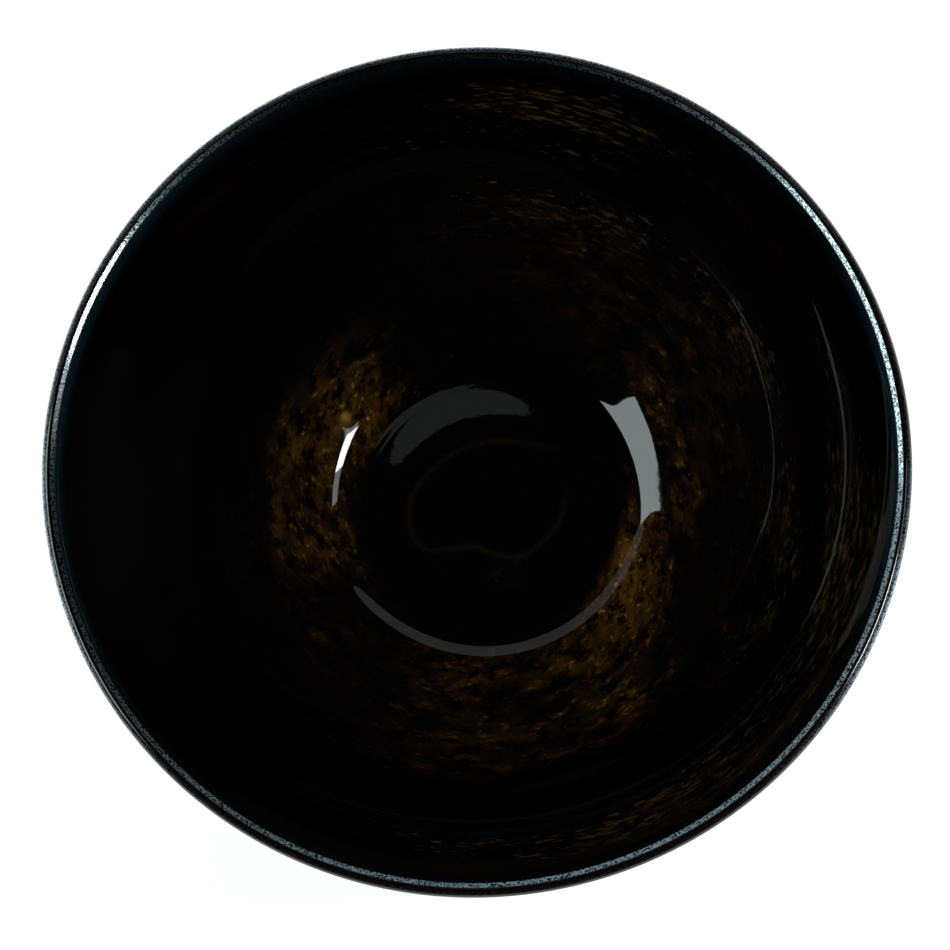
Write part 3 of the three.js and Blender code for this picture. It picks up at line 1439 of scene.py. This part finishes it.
@dataclass(frozen=True)
class Studio:
    """The pale floor and the soft light round the bowl.

    Attributes:
        floor_size: Width of the floor.
        floor_colour: Its colour, and the colour of the room.
        floor_roughness: How matt it is.
        floor_glow: Its own light, which keeps it pale.
        dim_room: How bright the room is for the bowl to mirror.
        pale_room: How bright it is for the eye.
        exposure: How much brighter the picture is shown, in stops.
        lamps: The lamps.
    """

    floor_size: float = 6.0
    floor_colour: Colour = Colour(0.86, 0.86, 0.855)
    floor_roughness: float = 0.9
    floor_glow: float = 0.75
    dim_room: float = 0.006
    pale_room: float = 1.0
    exposure: float = 0.35
    lamps: tuple[Softbox, ...] = (
        Softbox(
            name="left softbox", azimuth=178.0, zenith=46.3, distance=0.64,
            width=0.37, height=0.205, glow=4.0, roll=7.0, tint=Colour(0.86, 1.0, 1.0),
        ),
        Softbox(
            name="right softbox", azimuth=7.6, zenith=37.8, distance=0.64,
            width=0.135, height=0.095, glow=19.0, roll=9.0,
        ),
        Softbox(
            name="right softbox edge", azimuth=1.8, zenith=37.9, distance=0.66,
            width=0.275, height=0.092, glow=2.4, roll=9.0, tint=Colour(0.9, 0.97, 1.08),
        ),
        Softbox(
            name="back reflector", azimuth=257.0, zenith=31.4, distance=1.1,
            width=1.66, height=0.31, glow=0.26, shape=LampShape.OVAL,
        ),
        Softbox(
            name="ceiling", azimuth=254.0, zenith=7.5, distance=1.2,
            width=0.13, height=0.112, glow=0.17, roll=8.0, shape=LampShape.OVAL,
            tint=Colour(0.93, 1.0, 1.0),
        ),
    )

    def build_floor(self) -> bpy.types.Object:
        """Lay the floor.

        Returns:
            The floor.
        """
        bm = bmesh.new()
        bmesh.ops.create_grid(bm, x_segments=1, y_segments=1, size=self.floor_size / 2.0)
        mesh = bpy.data.meshes.new("studio_floor")
        bm.to_mesh(mesh)
        bm.free()
        floor = bpy.data.objects.new("studio_floor", mesh)
        material = bpy.data.materials.new("pale_floor")
        material.use_nodes = True
        shader = material.node_tree.nodes["Principled BSDF"]
        shader.inputs["Base Color"].default_value = self.floor_colour.value()
        shader.inputs["Roughness"].default_value = self.floor_roughness
        shader.inputs["Specular IOR Level"].default_value = 0.0
        shader.inputs["Emission Color"].default_value = self.floor_colour.value()
        shader.inputs["Emission Strength"].default_value = self.floor_glow
        mesh.materials.append(material)
        bpy.context.scene.collection.objects.link(floor)
        return floor

    def build_room(self) -> None:
        """Make the room dark for the glaze to mirror and pale for the eye."""
        world = bpy.data.worlds.new("studio")
        world.use_nodes = True
        world.node_tree.nodes.clear()
        sketch = Sketch(world.node_tree)
        eye = sketch.add("ShaderNodeLightPath").outputs["Is Camera Ray"]
        strength = sketch.grade(eye, 0.0, 1.0, self.dim_room, self.pale_room)
        paint = self.floor_colour.value()
        room = sketch.add("ShaderNodeBackground", {"Color": paint, "Strength": strength})
        sketch.add("ShaderNodeOutputWorld", {"Surface": room.outputs["Background"]})
        bpy.context.scene.world = world

    def build(self, target: Vector) -> None:
        """Lay the floor, make the room and hang the lamps.

        Args:
            target: The point that the lamps face.
        """
        self.build_floor()
        self.build_room()
        for lamp in self.lamps:
            lamp.build(target)
            log.info("hung %s", lamp.name)
        view = bpy.context.scene.view_settings
        view.view_transform = "Standard"
        view.look = "None"
        view.exposure = self.exposure


@dataclass(frozen=True)
class ViewFromAbove:
    """The camera, nearly straight above the bowl.

    Attributes:
        distance: How far it stands from the middle of the rim.
        tilt: How far it leans from straight above, in degrees.
        near: The direction it leans to, in degrees clockwise from +X as seen from above.
        lens: Focal length in millimetres.
        film: Width of the picture on the film in millimetres.
        pixels: Width of the picture.
        rim_at: Where the middle of the rim comes in the picture, from its top left corner.
        nearest: The distance from which on it sees things.
    """

    distance: float = 0.6711
    tilt: float = 12.3
    near: float = 72.0
    lens: float = 123.6
    film: float = 36.0
    pixels: float = 950.0
    rim_at: tuple[float, float] = (472.9, 459.7)
    nearest: float = 0.01

    def build(self, rim_centre: Vector) -> bpy.types.Object:
        """Set the camera up.

        Args:
            rim_centre: The middle of the rim.

        Returns:
            The camera.
        """
        turn = math.radians(self.near)
        lean = math.radians(self.tilt)
        nearer = Vector((math.cos(turn), -math.sin(turn), 0.0))
        back = nearer * math.sin(lean) + Vector((0.0, 0.0, 1.0)) * math.cos(lean)
        downward = (nearer - nearer.dot(back) * back).normalized()
        across = downward.cross(back)
        right = math.cos(turn) * downward - math.sin(turn) * across
        up = back.cross(right)
        data = bpy.data.cameras.new("camera")
        data.lens = self.lens
        data.sensor_width = self.film
        data.shift_x = (self.pixels / 2.0 - self.rim_at[0]) / self.pixels
        data.shift_y = (self.rim_at[1] - self.pixels / 2.0) / self.pixels
        data.clip_start = self.nearest
        camera = bpy.data.objects.new("camera", data)
        camera.location = rim_centre + back * self.distance
        camera.rotation_mode = "QUATERNION"
        camera.rotation_quaternion = Matrix((right, up, back)).transposed().to_quaternion()
        bpy.context.scene.collection.objects.link(camera)
        bpy.context.scene.camera = camera
        return camera


def main() -> None:
    """Build the bowl and its studio in order."""
    logging.basicConfig(level=logging.INFO, format="%(name)s: %(message)s")
    thrown = ThrownBowl()
    bowl = thrown.build()
    thrown.dress(bowl, StonewareFinish().material())
    log.info("turned %s with %d faces", bowl.name, len(bowl.data.polygons))
    rim_centre = Vector((0.0, 0.0, thrown.height))
    Studio().build(rim_centre)
    ViewFromAbove().build(rim_centre)
    log.info("sizes written")


if __name__ == "__main__":
    main()
